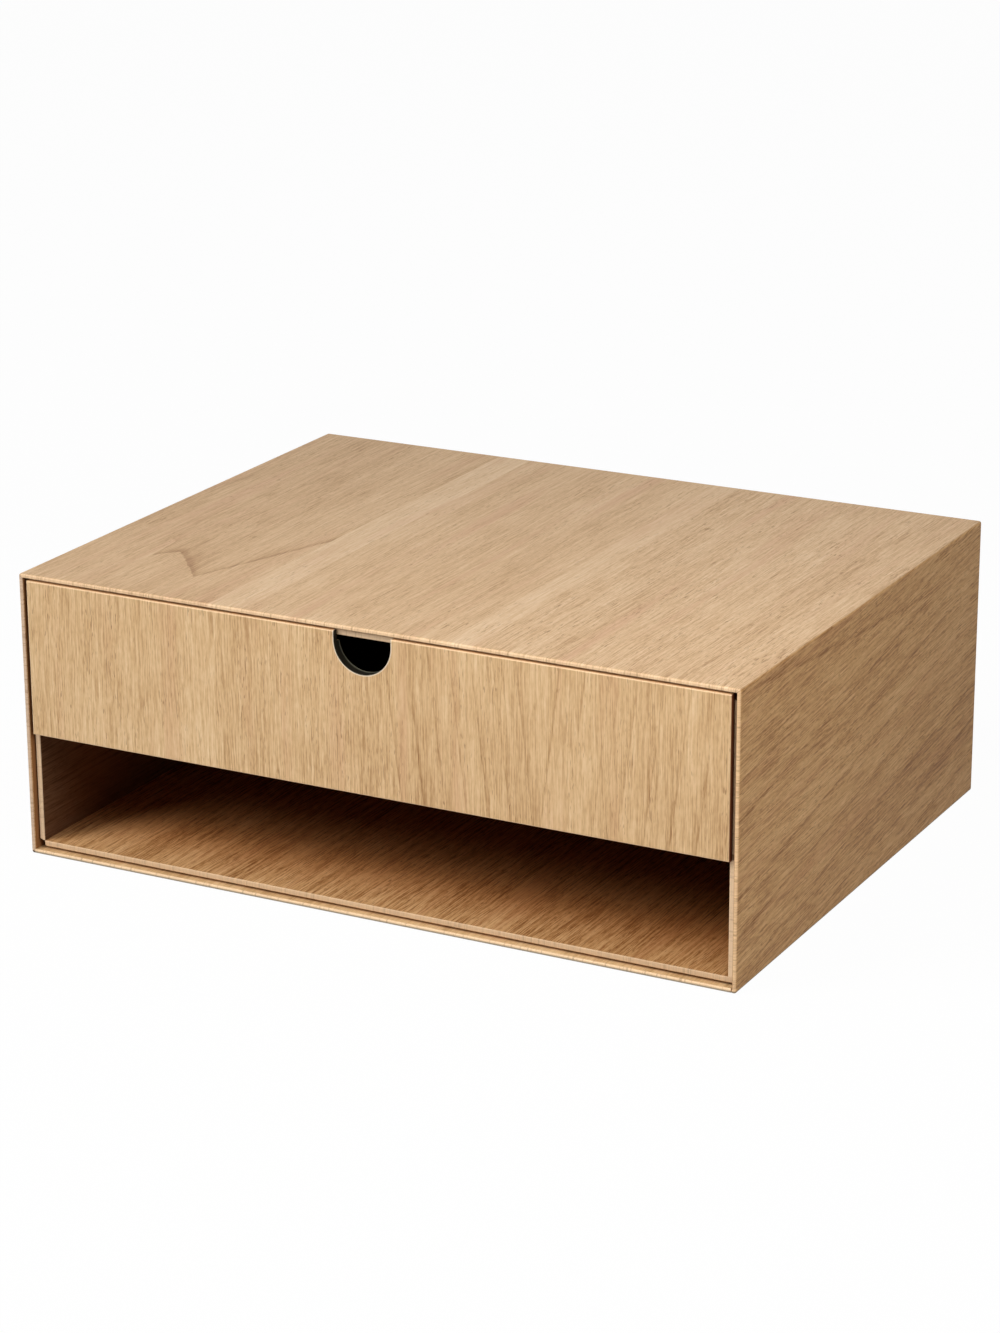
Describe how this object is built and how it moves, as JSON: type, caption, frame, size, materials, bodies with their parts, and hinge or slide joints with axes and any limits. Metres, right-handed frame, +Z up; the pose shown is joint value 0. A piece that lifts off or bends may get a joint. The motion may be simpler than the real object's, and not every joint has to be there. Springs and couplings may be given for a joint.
{
  "type": "mini chest of drawers",
  "caption": "Low desk organizer box with a sliding drawer, pulled by a round finger notch, above an open paper compartment.",
  "frame": {"origin": "middle of the footprint, on the surface it stands on", "axes": "+X to the right seen from the front, -Y out of the drawer's front, +Z up"},
  "size_m": [0.33, 0.255, 0.125],
  "materials": {
    "case_foil": "satin oak-look foil on grey board",
    "shell_foil": "satin oak-look foil on grey board",
    "front_foil": "satin oak-look foil, grain upright",
    "tray_foil": "satin oak-look foil on grey board",
    "spacer_card": "raw grey board"
  },
  "bodies": {
    "case": {"case_top": "case_foil", "case_bottom": "case_foil", "case_left": "case_foil", "case_right": "case_foil", "case_back": "case_foil", "spacer_top": "spacer_card", "spacer_bottom": "spacer_card", "spacer_left": "spacer_card", "spacer_right": "spacer_card", "shell_floor": "shell_foil", "shell_left_lower": "shell_foil", "shell_right_lower": "shell_foil", "shelf": "shell_foil", "shell_left_upper": "shell_foil", "shell_right_upper": "shell_foil", "shell_top": "shell_foil"},
    "drawer": {"drawer_face": "front_foil", "drawer_front_wall": "tray_foil", "drawer_left_wall": "tray_foil", "drawer_right_wall": "tray_foil", "drawer_back_wall": "tray_foil", "drawer_bottom": "tray_foil"}
  },
  "joints": [
    {"name": "drawer_slide", "type": "slide", "parent": "case", "child": "drawer", "axis": [0, -1, 0], "range_m": [0, 0.2]}
  ]
}
